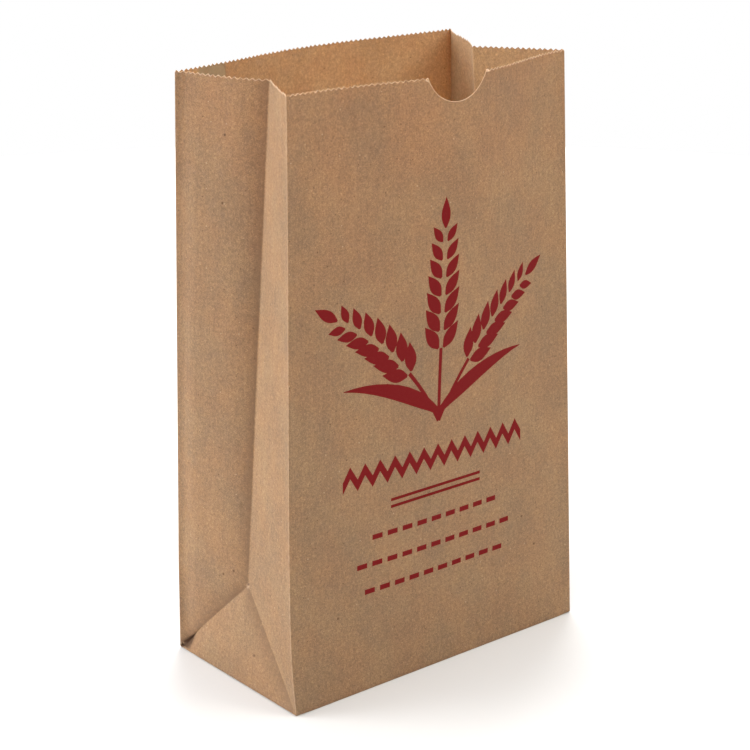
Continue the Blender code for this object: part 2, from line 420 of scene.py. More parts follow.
def valley_distance(along, height):
    """Distance of a place on a gusset from its middle crease or the nearer arm of the fork."""
    aside = min(along, DEPTH - along)
    foot = clamp((aside + height) / 2, high=HALF_GUSSET)
    to_arm = math.hypot(aside - foot, height - foot)
    to_middle = math.hypot(HALF_GUSSET - aside, max(HALF_GUSSET - height, 0.0))
    return min(to_arm, to_middle)


def shaded_hollow_distance(name, along, height):
    """Distance from the valley creases on the parts that sag, for the shade painted there: the front
    folded part is taut.

    It grows faster where the crease opens to the mouth, and slower beside the front arm.
    """
    from_rear = along if name == "left" else DEPTH - along
    from_front = DEPTH - from_rear
    if from_rear > HALF_GUSSET and height > from_front + WELD:
        return FAR
    if height < min(from_rear, from_front):
        return (from_front - height) / math.sqrt(2) * HOLLOW_SHADE_AT_ARM
    return valley_distance(along, height) * (1 + HOLLOW_SHADE_OPENS * (height / WALL_HEIGHT) ** 2)


def bend_radius(name, along, height):
    """Radius of the crease that a place lies within, or 0 away from all creases."""
    near = [(abs(height), FOOT_RADIUS)]
    if height >= 0:
        near += [(gap, CORNER_RADIUS[corner]) for corner, gap in from_corners(name, along)]
    if name in GUSSETS and height >= 0:
        near.append((valley_distance(along, height), VALLEY_RADIUS))
    return max([radius for distance, radius in near if distance < radius], default=0.0)


def bent_point(name, along, height):
    """Point of the sheet with rounded creases: the mean of the sharp folds around it."""
    radius = bend_radius(name, along, height)
    if radius == 0:
        return sharp_point(name, along, height)
    total = Vector()
    for i in BEND_STEPS:
        for j in BEND_STEPS:
            total += sharp_point(*neighbour(name, along + radius * i, height + radius * j))
    return total / len(BEND_STEPS) ** 2


# Relief of the walls

def wave(place, seed, length):
    return noise.noise(Vector((place[0] / length, place[1] / length, seed)))


def swell(name, along, height):
    """The gusset's rear half and its standing triangle swell beside the valley creases."""
    aside = min(along, DEPTH - along)
    is_front = (along > HALF_GUSSET) == (name == "left")
    if is_front and aside < height:
        return 0.0
    rise = clamp((height / HALF_GUSSET - 1) / (WALL_HEIGHT / HALF_GUSSET - 1))
    most = SWELL_FOOT * (1 - rise) + SWELL_MOUTH[name] * rise
    most += SWELL_MIDDLE * math.sin(math.pi * rise)
    out = most * (1 - math.exp(-valley_distance(along, height) / SWELL_REACH))
    return out * ease_in(aside / FREE_ROOM) * ease_in(height / FREE_ROOM)


def pinch(name, along, height):
    """The walls draw in beside the upright creases, which were once folded flat."""
    depth = 0.0
    for corner, distance in from_corners(name, along):
        most = PINCH
        if name in GUSSETS and corner.startswith("back"):
            most = PINCH_AT_REAR * (1 + PINCH_AT_FOOT * ease_out(height / PINCH_FOOT_ROOM))
        depth += most * distance / PINCH_REACH * math.exp(1 - distance / PINCH_REACH)
    return depth * ease_in(height / FREE_ROOM)


def tooth_curl(along, height, seed):
    """The teeth of the cut edge lean in and out a little, each in its own way."""
    near = ease_out((WALL_HEIGHT - height) / TOOTH_CURL_ROOM)
    return TOOTH_CURL * near * wave((along, 0.0), seed, TOOTH_PITCH)


def pocket(along, height):
    """Dent under the rear fold at the back left corner of the bottom."""
    along_fold = (along + height) / 2 - POCKET_PLACE
    below_fold = (along - height) / math.sqrt(2)
    reach = POCKET_BELOW if below_fold > 0 else POCKET_ABOVE
    depth = POCKET_DEPTH * math.exp(-abs(below_fold) / reach)
    return depth * math.exp(-(along_fold / POCKET_REACH) ** 2)


def line_distance(place, line):
    """Distance of a place from a line of several places."""
    gaps = []
    for first, second in zip(map(Vector, line), map(Vector, line[1:])):
        span = second - first
        share = clamp((place - first).dot(span) / span.length_squared)
        gaps.append((place - first - span * share).length)
    return min(gaps)


def soft_creases(name, along, height):
    """Low ridges and grooves along the soft creases of a panel."""
    place = Vector((along, height))
    out = 0.0
    for most, line in SOFT_CREASES.get(name, ()):
        out += most * math.exp(-line_distance(place, line) / SOFT_REACH)
    return out


def relief(name, along, height):
    """How far the wall stands out from its plain folded shape."""
    if height < 0:
        return 0.0
    seed = WALLS[name].seed
    place = (along, height)
    aside = corner_distance(name, along)
    free = ease_in(aside / FREE_ROOM) * ease_in(height / FREE_ROOM)
    if name in GUSSETS:
        free *= ease_in(valley_distance(along, height) / FREE_ROOM)
    out = WAVE_HEIGHT * wave(place, seed, WAVE_LENGTH) * free
    out += RIPPLE_HEIGHT * wave(place, seed, RIPPLE_LENGTH) * free
    out += tooth_curl(along, height, seed) * ease_in(aside / TOOTH_PITCH)
    out += soft_creases(name, along, height) * ease_in(aside / SOFT_ROOM) * ease_in(height / SOFT_ROOM)
    out -= pinch(name, along, height)
    if name in GUSSETS:
        out += swell(name, along, height)
    if name == "left":
        out -= pocket(along, height) * ease_in(height / FOOT_RADIUS)
    return out


def sheet_point(name, along, height):
    outward = Vector(WALLS[name].outward)
    return bent_point(name, along, height) + outward * relief(name, along, height)


# The print: ears of wheat over a zigzag band and plain rules

PRINT_MIDDLE = 0.081
CURVE_STEPS = 10
EAR_FOOT = 0.117
EAR_HEIGHT = 0.084
SIDE_EAR_HEIGHT = 0.076
SIDE_EAR_LEAN = math.radians(27)
SIDE_EAR_BEND = math.radians(34)
EAR_START = 0.40
EAR_STOP = 0.97
EAR_TAPER = 0.35
KERNEL_ROWS = 7
KERNEL_LENGTH = 0.0135
KERNEL_WIDTH = 0.0062
KERNEL_SPREAD = math.radians(36)
KERNEL_ASIDE = 0.0014
KERNEL_SHAPE = (0.8, 0.03, 0.99)
TIP_RAISE = 0.25
TIP_SLIMNESS = 0.8
STEM_WIDTH = 0.0018
STEM_POINTS = 5
BLADE_FOOT = EAR_FOOT + 0.004
BLADE_LEAN = math.radians(50)
BLADE_BEND = math.radians(38)
BLADE_LENGTH = 0.056
BLADE_WIDTH = 0.0070
BLADE_SHAPE = (0.7, 0.04, 1.0)
BLADE_TIP = 0.0003

BAND_HEIGHT = 0.1005
BAND_WIDTH = 0.104
BAND_TEETH = 13
BAND_RISE = 0.0064
BAND_STROKE = 0.0054
RULE_HEIGHT = 0.0845
RULE_WIDTH = 0.052
RULE_STROKE = 0.0014
RULE_GAP = 0.0032
DASH_HEIGHTS = (0.071, 0.0585, 0.046)
DASH_COUNTS = (9, 11, 10)
DASH_LENGTH = 0.0055
DASH_GAP = 0.0028
DASH_STROKE = 0.0024


def heading(angle):
    """Unit vector at this angle from straight up, to the right."""
    return Vector((math.sin(angle), math.cos(angle)))


def curve(foot, lean, bend, length):
    """Points and angles along a stem that starts at an angle and bends further."""
    points = [(foot, lean)]
    step = length / CURVE_STEPS
    for i in range(CURVE_STEPS):
        angle = lean + bend * (i + 0.5) / CURVE_STEPS
        points.append((points[-1][0] + heading(angle) * step, angle))
    return points


def strip(stem, widths):
    """Outline of a strip that follows a curve, from its width at each point."""
    left = []
    right = []
    for (point, angle), width in zip(stem, widths):
        ahead = heading(angle)
        aside = Vector((ahead.y, -ahead.x)) * width / 2
        left.append(point - aside)
        right.append(point + aside)
    return right + left[::-1]


def leaf(stem, width, shape, least=0.0):
    """Outline of a leaf that follows a curve: pointed at its tip and narrow at its foot."""
    skew, first, last = shape
    widths = []
    for i in range(CURVE_STEPS + 1):
        share = clamp(i / CURVE_STEPS, first, last)
        widths.append(width * math.sin(math.pi * share ** skew) + least)
    return strip(stem, widths)


def kernel(foot, angle, size, slimness=1.0):
    stem = curve(foot, angle, 0.0, KERNEL_LENGTH * size)
    return leaf(stem, KERNEL_WIDTH * size * slimness, KERNEL_SHAPE)


def stem_place(stem, share):
    """Point and angle at a share of the way along a curve."""
    exact = share * CURVE_STEPS
    index = min(int(exact), CURVE_STEPS - 1)
    point = stem[index][0].lerp(stem[index + 1][0], exact - index)
    return point, stem[index + 1][1]


def ear(lean, bend, length):
    """A stem with pairs of kernels and one kernel at its tip."""
    foot = Vector((PRINT_MIDDLE, EAR_FOOT))
    stem = curve(foot, lean, bend, length)
    shapes = []
    for i in range(KERNEL_ROWS):
        share = EAR_START + (EAR_STOP - EAR_START) * i / (KERNEL_ROWS - 1)
        size = 1.0 - EAR_TAPER * (i / (KERNEL_ROWS - 1)) ** 2
        point, angle = stem_place(stem, share)
        for side in (-1, 1):
            aside = heading(angle + side * math.pi / 2) * KERNEL_ASIDE
            shapes.append(kernel(point + aside, angle + side * KERNEL_SPREAD, size))
    tip, angle = stem_place(stem, 1.0)
    tip = tip + heading(angle) * KERNEL_LENGTH * TIP_RAISE
    shapes.append(kernel(tip, angle, 1.0, TIP_SLIMNESS))
    shapes.append(strip(stem[:STEM_POINTS], [STEM_WIDTH] * STEM_POINTS))
    return shapes


def blade(side):
    """A long leaf that bends out from the foot of the stems."""
    foot = Vector((PRINT_MIDDLE, BLADE_FOOT))
    stem = curve(foot, side * BLADE_LEAN, side * BLADE_BEND, BLADE_LENGTH)
    return leaf(stem, BLADE_WIDTH, BLADE_SHAPE, BLADE_TIP)


def bar(middle, height, width, stroke):
    x = width / 2
    y = stroke / 2
    corners = [(-x, -y), (x, -y), (x, y), (-x, y)]
    return [Vector((middle + dx, height + dy)) for dx, dy in corners]


def zigzag_band():
    """One broad zigzag line across the print."""
    low = []
    high = []
    for i in range(2 * BAND_TEETH + 1):
        x = PRINT_MIDDLE + BAND_WIDTH * (i / (2 * BAND_TEETH) - 0.5)
        y = BAND_HEIGHT + BAND_RISE * (0.5 if i % 2 else -0.5)
        low.append(Vector((x, y - BAND_STROKE / 2)))
        high.append(Vector((x, y + BAND_STROKE / 2)))
    return low + high[::-1]


def dashes():
    shapes = []
    pitch = DASH_LENGTH + DASH_GAP
    for height, count in zip(DASH_HEIGHTS, DASH_COUNTS):
        for i in range(count):
            middle = PRINT_MIDDLE + pitch * (i - (count - 1) / 2)
            shapes.append(bar(middle, height, DASH_LENGTH, DASH_STROKE))
    return shapes


def print_shapes():
    """Outlines of all inked shapes on the flat front panel."""
    shapes = ear(0.0, 0.0, EAR_HEIGHT)
    for side in (-1, 1):
        shapes += ear(side * SIDE_EAR_LEAN, side * SIDE_EAR_BEND, SIDE_EAR_HEIGHT)
        shapes.append(blade(side))
    shapes.append(zigzag_band())
    for step in (-0.5, 0.5):
        shapes.append(bar(PRINT_MIDDLE, RULE_HEIGHT + step * RULE_GAP, RULE_WIDTH, RULE_STROKE))
    return shapes + dashes()


# The flat sheet

def steps(start, stop, spacing):
    """Evenly spaced values from start to stop, both included."""
    count = max(1, round(abs(stop - start) / spacing))
    return [start + (stop - start) * i / count for i in range(count + 1)]


def row_heights():
    """Heights of the rows of points: fine at the foot, with one row at the fork."""
    foot = [0.0, FOOT_RADIUS / 2, FOOT_RADIUS]
    below = steps(0.0, HALF_GUSSET, GRID)
    above = steps(HALF_GUSSET, WALL_HEIGHT - TOOTH_DEPTH - GRID, GRID)
    return foot + below[1:] + above[1:]


ROWS = row_heights()


def column(x, heights):
    """Points at these heights, one above the other."""
    return [Vector((x, y)) for y in heights]


def pinked_edge(start, stop, height, depth):
    """Points of a zigzag cut with uneven teeth, and a full valley at both ends."""
    count = max(1, round(abs(stop - start) / TOOTH_PITCH))
    points = []
    for i in range(2 * count + 1):
        x = start + (stop - start) * i / (2 * count)
        blunt = TOOTH_SPREAD * abs(wave((i, start + stop), depth, TOOTH_VARIETY))
        if i in (0, 2 * count):
            blunt = 0.0
        points.append(Vector((x, height - depth * (blunt if i % 2 else 1 - blunt))))
    return points


def notch_arc():
    """The thumb notch, a shallow arc from left to right."""
    radius = (NOTCH_WIDTH ** 2 / 4 + NOTCH_DEPTH ** 2) / (2 * NOTCH_DEPTH)
    half_angle = math.asin(NOTCH_WIDTH / 2 / radius)
    if NOTCH_DEPTH > NOTCH_WIDTH / 2:
        half_angle = math.pi - half_angle
    centre = Vector((WIDTH / 2 + NOTCH_SHIFT, WALL_HEIGHT - NOTCH_DEPTH + radius))
    arc = []
    for i in range(NOTCH_STEPS + 1):
        angle = half_angle * (2 * i / NOTCH_STEPS - 1)
        arc.append(centre + radius * Vector((math.sin(angle), -math.cos(angle))))
    return arc


def tooth_roots(edge):
    """A point at the root of each tooth of a cut edge, below its tip."""
    roots = []
    for before, tip, after in zip(edge, edge[1:], edge[2:]):
        if tip.y > max(before.y, after.y):
            roots.append(Vector((tip.x, (before.y + after.y) / 2)))
    return roots


def mouth_edge(name, start, stop):
    """The cut edge of a panel's mouth, from left to right."""
    wall = WALLS[name]
    teeth = pinked_edge(0.0, wall.width, WALL_HEIGHT, TOOTH_DEPTH)
    if name == "front":
        arc = notch_arc()
        clear = TOOTH_PITCH / 4
        before = [p for p in teeth if p.x < arc[0].x - clear]
        after = [p for p in teeth if p.x > arc[-1].x + clear]
        return before + arc + after
    kept = [p for p in teeth if start - WELD < p.x < stop + WELD]
    half_way = WALL_HEIGHT - TOOTH_DEPTH / 2
    if start > WELD:
        kept.insert(0, Vector((start, half_way)))
    if stop < wall.width - WELD:
        kept.append(Vector((stop, half_way)))
    return kept


def fold_side(corner, inward, first, last):
    """Points down the slanting side of a flap, from one depth to another."""
    return [Vector((corner + inward * t, -t)) for t in steps(first, last, GRID)]


def end_flap(width):
    """Outline of a gusset's flap, from its left end round to its right end."""
    left = END_FLAP_TUCK
    right = width - END_FLAP_TUCK
    heights = [-t for t in steps(END_FLAP_TUCK, FLAP_LENGTH, GRID)][:-1]
    teeth = pinked_edge(left, right, -FLAP_LENGTH, -TOOTH_DEPTH)
    return column(left, heights) + teeth + column(right, heights[::-1]), [teeth]


def long_flap(stop):
    """Outline of the front or back flap, left to right, up to the end of the sheet."""
    down = fold_side(0.0, 1, 0.0, FLAP_LENGTH)[1:]
    up = fold_side(WIDTH, -1, WIDTH - stop, FLAP_LENGTH)[::-1]
    if stop > WIDTH - WELD:
        up = up[:-1]
    teeth = pinked_edge(FLAP_LENGTH, WIDTH - FLAP_LENGTH, -FLAP_LENGTH, -TOOTH_DEPTH)
    return down[:-1] + teeth + up[1:], [teeth]


def under_flap(start):
    """Outline of the flap of the sheet's inner end: a triangle beside the corner's fold."""
    depth = WIDTH - start
    up = fold_side(WIDTH, -1, 0.0, depth)[::-1]
    down = column(start, [-t for t in steps(0.0, depth, GRID)][1:-1])
    return down + up[:-1], []


def corner_lines(name):
    """Lines beside the upright creases of a panel, where the sheet is bent."""
    wall = WALLS[name]
    heights = ROWS + [LINE_TOP]
    lines = []
    for corner, at, inward in ((wall.corners[0], 0.0, 1), (wall.corners[1], wall.width, -1)):
        for share in CORNER_STEPS:
            lines.append(column(at + inward * share * CORNER_RADIUS[corner], heights))
    return lines


def gusset_lines():
    """Creases of a flat gusset with the lines beside them, where the sheet is bent."""
    low = [y for y in ROWS if y <= HALF_GUSSET + WELD]
    high = [y for y in ROWS if y >= HALF_GUSSET - WELD] + [LINE_TOP]
    lines = []
    for share in BEND_STEPS:
        shift = share * VALLEY_RADIUS
        lines.append(column(HALF_GUSSET + shift, high))
        slant = shift / math.sqrt(2)
        arm = [Vector((y + slant, y - slant)) for y in low if y > VALLEY_RADIUS]
        lines.append(arm)
        lines.append([Vector((DEPTH - p.x, p.y)) for p in arm])
    return lines


def flap_lines(width):
    """Lines along the top of a flap, where it bends round from the wall."""
    lines = []
    for share in FLAP_STEPS:
        depth = share * FOOT_RADIUS
        lines.append([Vector((x, -depth)) for x in steps(2 * depth, width - 2 * depth, GRID)])
    return lines


def soft_lines(name):
    """The soft creases of a panel, with a point at each step of the grid."""
    lines = []
    for _, places in SOFT_CREASES.get(name, ()):
        ends = [Vector(place) for place in places]
        line = ends[:1]
        for first, second in zip(ends, ends[1:]):
            shares = steps(0.0, 1.0, GRID / (second - first).length)
            line += [first.lerp(second, share) for share in shares[1:]]
        lines.append(line)
    return lines


def grid_points(width, start, stop):
    """A grid of points over a panel and its flap, without the panel's outline."""
    heights = [-y for y in steps(GRID, FLAP_LENGTH, GRID)] + ROWS
    return [Vector((x, y)) for y in heights for x in steps(0.0, width, GRID) if start < x < stop]


def distances(points, lines):
    """Distance of each point from the nearest of some lines, as an array."""
    places = np.array([tuple(p) for p in points])
    nearest = np.full(len(places), FAR)
    for line in lines:
        corners = np.array([tuple(p) for p in line])
        for first, second in zip(corners, corners[1:]):
            span = second - first
            share = np.clip((places - first) @ span / (span @ span), 0.0, 1.0)
            gap = places - first - share[:, None] * span
            nearest = np.minimum(nearest, np.hypot(gap[:, 0], gap[:, 1]))
    return nearest


# Kind of triangle mesh that leaves out what lies outside the outlines
ONLY_INSIDE = 1

Panel = namedtuple("Panel", "name outline cuts lines roots inks start stop")

# Where the sheet starts and stops on the two layers of the back, which lap at the seam
SHEET_ENDS = {
    "back_under": (WIDTH - SEAM_INSET - SEAM_LAP, WIDTH),
    "back": (0.0, WIDTH - SEAM_INSET),
}


def make_panel(name):
    """Flat outline of a panel with its flap, its cut edges, its creases and its print."""
    wall = WALLS[name]
    start, stop = SHEET_ENDS.get(name, (0.0, wall.width))
    if name in GUSSETS:
        foot, cuts = end_flap(wall.width)
    elif name == "back_under":
        foot, cuts = under_flap(start)
    else:
        foot, cuts = long_flap(stop)
    top = mouth_edge(name, start, stop)
    outline = foot + column(stop, ROWS) + top[::-1] + column(start, ROWS[::-1])
    cuts = cuts + [top]
    for end in (start, stop):
        if WELD < end < wall.width - WELD:
            cuts.append([Vector((end, -FLAP_LENGTH)), Vector((end, WALL_HEIGHT))])
    lines = flap_lines(wall.width) + soft_lines(name)
    lines += gusset_lines() if name in GUSSETS else []
    lines += [line for line in corner_lines(name) if start < line[0].x < stop]
    inks = print_shapes() if name == "front" else []
    return Panel(name, outline, cuts, lines, tooth_roots(top), inks, start, stop)


def points_inside(panel, points):
    """The points that lie well inside a panel's outline and clear of its lines."""
    ring = panel.outline + panel.outline[:1]
    clear = distances(points, [ring]) > CLEAR_OF_EDGE
    clear &= distances(points, panel.lines) > CLEAR_OF_LINE
    return [p for p, keep in zip(points, clear) if keep]


def flat_mesh(panel):
    """Corners, triangles and inked triangles of a flat panel."""
    points = list(panel.outline)
    faces = [list(range(len(points)))]
    edges = []
    for line in panel.lines:
        first = len(points)
        points += line
        edges += [(i, i + 1) for i in range(first, len(points) - 1)]
    for shape in panel.inks:
        first = len(points)
        points += shape
        faces.append(list(range(first, len(points))))
    grid = grid_points(WALLS[panel.name].width, panel.start, panel.stop)
    points += points_inside(panel, grid) + panel.roots
    made = delaunay_2d_cdt(points, edges, faces, ONLY_INSIDE, WELD)
    corners, _, triangles, _, _, sources = made
    inked = [max(source, default=0) > 0 for source in sources]
    return corners, triangles, inked


# The solid sheet

OUTSIDE, INK, INSIDE, CUT_EDGE = range(4)


def measures_at(name, along, height, cut):
    """Distances from the edges and creases, with the parts that are lapped or dented."""
    upright_fold = corner_distance(name, along) if height > -WELD else FAR
    found = {"cut": cut, "ridge": min(upright_fold, abs(height))}
    found |= {"valley": FAR, "hollow": FAR, "fork": FAR, "pocket": 0.0}
    found["lapped"] = float(name == "back_under")
    if name in GUSSETS and height >= 0:
        found["valley"] = valley_distance(along, height)
        found["hollow"] = shaded_hollow_distance(name, along, height)
        found["fork"] = math.hypot(along - HALF_GUSSET, height - HALF_GUSSET)
    if name == "left" and height >= 0:
        # The pocket's depth share, which sets its painted shadow
        found["pocket"] = pocket(along, height) / POCKET_DEPTH
    return found


def add_object(name, data):
    added = bpy.data.objects.new(name, data)
    bpy.context.scene.collection.objects.link(added)
    return added


class Sheet:
    """Places, faces and measures of the sheet's outer surface, panel after panel."""

    def __init__(self):
        self.found = {}
        self.points = []
        self.flat = []
        self.measures = []
        self.faces = []
        self.looks = []

    def corner(self, panel, place, cut):
        """Index of a corner of the sheet, shared by the panels that meet there."""
        wall = WALLS[panel.name]
        along = clamp(place.x, high=wall.width)
        flap_of = panel.name if place.y < -WELD else ""
        key = (round((wall.start + place.x) / WELD), round(place.y / WELD), flap_of)
        if key in self.found:
            return self.found[key]
        self.found[key] = len(self.points)
        self.points.append(sheet_point(panel.name, along, place.y))
        self.flat.append((wall.start + place.x, place.y, 0.0))
        self.measures.append(measures_at(panel.name, along, place.y, cut))
        return self.found[key]

    def add(self, panel):
        corners, triangles, inked = flat_mesh(panel)
        cuts = distances(corners, panel.cuts)
        for triangle, ink in zip(triangles, inked):
            face = [self.corner(panel, corners[i], cuts[i]) for i in triangle]
            if len(set(face)) == len(face):
                self.faces.append(face)
                self.looks.append(INK if ink else OUTSIDE)


def surface_normals(points, faces):
    """Unit normal at each point, from the faces around it weighted by area."""
    corners = points[faces]
    area = np.cross(corners[:, 1] - corners[:, 0], corners[:, 2] - corners[:, 0])
    normals = np.zeros_like(points)
    for i in range(3):
        np.add.at(normals, faces[:, i], area)
    return normals / np.linalg.norm(normals, axis=1)[:, None]


def rim_edges(faces):
    """Edges of the sheet that belong to one face only, in that face's direction."""
    directed = set()
    for a, b, c in faces:
        directed |= {(a, b), (b, c), (c, a)}
    return [(a, b) for a, b in sorted(directed) if (b, a) not in directed]


def add_measure(data, name, values, kind="FLOAT"):
    layer = data.attributes.new(name, kind, "POINT")
    field = "vector" if kind == "FLOAT_VECTOR" else "value"
    layer.data.foreach_set(field, np.array(values, dtype=np.float32).ravel())


def solid_sheet(sheet, materials):
    """The sheet with its thickness: outer and inner faces joined by its cut edges."""
    outer = np.array([tuple(p) for p in sheet.points])
    faces = np.array(sheet.faces)
    inner = outer - surface_normals(outer, faces) * SHEET
    count = len(outer)
    rim = rim_edges(sheet.faces)
    polygons = list(sheet.faces)
    polygons += [[c + count, b + count, a + count] for a, b, c in sheet.faces]
    polygons += [[b, a, a + count, b + count] for a, b in rim]
    data = bpy.data.meshes.new("folded_sheet")
    data.from_pydata(np.vstack([outer, inner]).tolist(), [], polygons)
    looks = sheet.looks + [INSIDE] * len(faces) + [CUT_EDGE] * len(rim)
    data.polygons.foreach_set("material_index", looks)
    data.polygons.foreach_set("use_smooth", [True] * len(polygons))
    sharpen_rim(data, rim, count)
    add_measure(data, "flat", sheet.flat * 2, "FLOAT_VECTOR")
    for name in sheet.measures[0]:
        add_measure(data, name, [measures[name] for measures in sheet.measures] * 2)
    for material in materials:
        data.materials.append(material)
    return add_object("folded_sheet", data)


def sharpen_rim(data, rim, count):
    """Keeps the shading of the two faces of the paper apart from that of its cut edge."""
    both = rim + [(a + count, b + count) for a, b in rim]
    border = {tuple(sorted(edge)) for edge in both}
    for edge in data.edges:
        if tuple(sorted(edge.vertices)) in border:
            edge.use_edge_sharp = True


def build_sheet(materials):
    sheet = Sheet()
    for name in ORDER:
        sheet.add(make_panel(name))
    return solid_sheet(sheet, materials)


# Materials

KRAFT_LIGHT = (0.480, 0.286, 0.148)
KRAFT_DARK = (0.362, 0.220, 0.124)
# Inside colours: the same kraft painted lighter and warmer, as painted light that stands in for light
# passing through the sheet and bouncing inside the bag
INSIDE_LIT_LIGHT = (0.655, 0.445, 0.258)
INSIDE_LIT_DARK = (0.575, 0.378, 0.212)
WARM_DRIFT = (1.022, 0.992, 0.974)
COOL_DRIFT = (0.980, 1.005, 1.017)
LAPPED_COLOUR = (0.580, 0.405, 0.245)
# Pale worn paper, also used for painted highlights along the folds
WORN_AND_HIGHLIGHT_COLOUR = (0.640, 0.440, 0.290)
CUT_COLOUR = (0.800, 0.570, 0.400)
# Painted shade in the inside corners and along the inside of the cut edge
VALLEY_SHADE_COLOUR = (0.330, 0.190, 0.105)
# Painted shade in the hollows beside the gussets' valley creases
HOLLOW_SHADE_COLOUR = (0.235, 0.138, 0.078)
# Painted shadow in the pocket under the left gusset's rear fold
POCKET_SHADOW_COLOUR = (0.090, 0.045, 0.022)
SPECK_COLOUR = (0.120, 0.060, 0.030)
PALE_SPECK_COLOUR = (0.640, 0.470, 0.310)
INK_COLOUR = (0.178, 0.0085, 0.0095)
INK_THIN_COLOUR = (0.220, 0.0170, 0.0170)
FLOOR_COLOUR = (0.80, 0.80, 0.80)

# How each surface scatters light
PAPER_SURFACE = {
    "Roughness": 0.78,
    "Specular IOR Level": 0.30,
    "Subsurface Weight": 0.5,
    "Subsurface Radius": (1.0, 0.72, 0.42),
    "Subsurface Scale": 4 * PAPER,
}
INK_SURFACE = {"Roughness": 0.80, "Specular IOR Level": 0.10}
CUT_SURFACE = {"Roughness": 0.9}
FLOOR_SURFACE = {"Base Color": FLOOR_COLOUR, "Roughness": 0.9, "Specular IOR Level": 0.1}

# Grains of the paper's patterns, each with its length and width on the sheet, and the
# range of the pattern's values over which its effect goes from none to full
FIBRE_GRAIN = (0.0022, 0.00022)
FIBRE_TURNS = (80, 35, -20, -60)
FIBRE_RANGE = (0.45, 0.75)
PULP_GRAIN = (0.0016, 0.0016)
FINE_GRAIN = (0.00035, 0.0007)
MACHINE_GRAIN = (0.0009, 0.030)
MOTTLE_GRAIN = (0.0055, 0.0085)
MOTTLE_RANGE = (0.30, 0.70)
BROAD_GRAIN = (0.028, 0.040)
BROAD_RANGE = (0.32, 0.68)
DRIFT_GRAIN = (0.022, 0.030)
DRIFT_TURN = math.radians(25)
DRIFT_RANGE = (0.36, 0.64)
# Patches that break up the wear and the painted shade and highlights
MARK_GRAIN = (0.0030, 0.0030)
MARK_RANGE = (0.30, 0.62)
MARK_LEAST = 0.35
TORN_GRAIN = (0.0006, 0.0006)
TORN_RANGE = (0.30, 0.70)

# How much the patterns change the paper's brightness, raise its surface and thin the ink
FIBRE_WEIGHT = 0.22
PULP_WEIGHT = 0.30
FINE_WEIGHT = 0.24
MACHINE_WEIGHT = 0.16
PULP_RISE = 0.4
FIBRE_RISE = 0.0002
RISE_STRENGTH = 0.35
INK_PULP = 1.0
INK_FINE = 0.8
INK_BASE = 0.35

# Random specks of several sizes, in a share of the cells of a pattern with this spacing
Specks = namedtuple("Specks", "spacing radius share strength colour")

SPECKS = (
    Specks(0.0090, 0.00042, 0.28, 0.45, PALE_SPECK_COLOUR),
    Specks(0.0068, 0.00040, 0.42, 0.75, SPECK_COLOUR),
    Specks(0.0230, 0.00050, 0.50, 0.70, SPECK_COLOUR),
)
SMALLEST_SPECK = 0.35
SPECK_CORE = 0.55

# Wear, painted shade and painted highlights beside folds and edges, out to a reach from each
Mark = namedtuple("Mark", "measure reach strength colour")

OUTSIDE_MARKS = (
    # Painted shade in the hollows beside the valley creases, broad and narrow
    Mark("hollow", 0.0058, 0.45, HOLLOW_SHADE_COLOUR),
    Mark("hollow", 0.0022, 0.55, HOLLOW_SHADE_COLOUR),
    Mark("fork", 0.0018, 0.50, WORN_AND_HIGHLIGHT_COLOUR),
    # Worn paper and painted highlight along the upright and bottom folds
    Mark("ridge", 0.0006, 0.55, WORN_AND_HIGHLIGHT_COLOUR),
    Mark("cut", 0.0003, 0.90, CUT_COLOUR),
)
INSIDE_MARKS = (
    # Painted shade in the inside corners of the upright and bottom folds
    Mark("ridge", 0.0016, 0.40, VALLEY_SHADE_COLOUR),
    # Worn paper and painted highlight along the gussets' creases, which stand out on the inside
    Mark("valley", 0.0007, 0.55, WORN_AND_HIGHLIGHT_COLOUR),
    # Painted shade along the inside of the cut edge
    Mark("cut", 0.0007, 0.50, VALLEY_SHADE_COLOUR),
)
MARK_CORE = 0.25
# Painted shadow in the pocket: the range of its depth share over which it darkens, and how far
POCKET_SHADOW_RANGE = (0.15, 0.52)
POCKET_SHADOW_STRENGTH = 0.90
LAPPED_STRENGTH = 0.60

# Places of the larger specks on their panels
DARK_SPECKS = {
    "front": ((0.026, 0.038), (0.134, 0.057), (0.142, 0.041)),
    "left": (
        (0.0265, 0.245), (0.0265, 0.216), (0.054, 0.063), (0.037, 0.050),
        (0.031, 0.047), (0.0448, 0.0452), (0.0575, 0.017),
    ),
}
DARK_SPECK_RADIUS = 0.0008
DARK_SPECK_CORE = 0.00032
DARK_SPECK_STRENGTH = 0.80


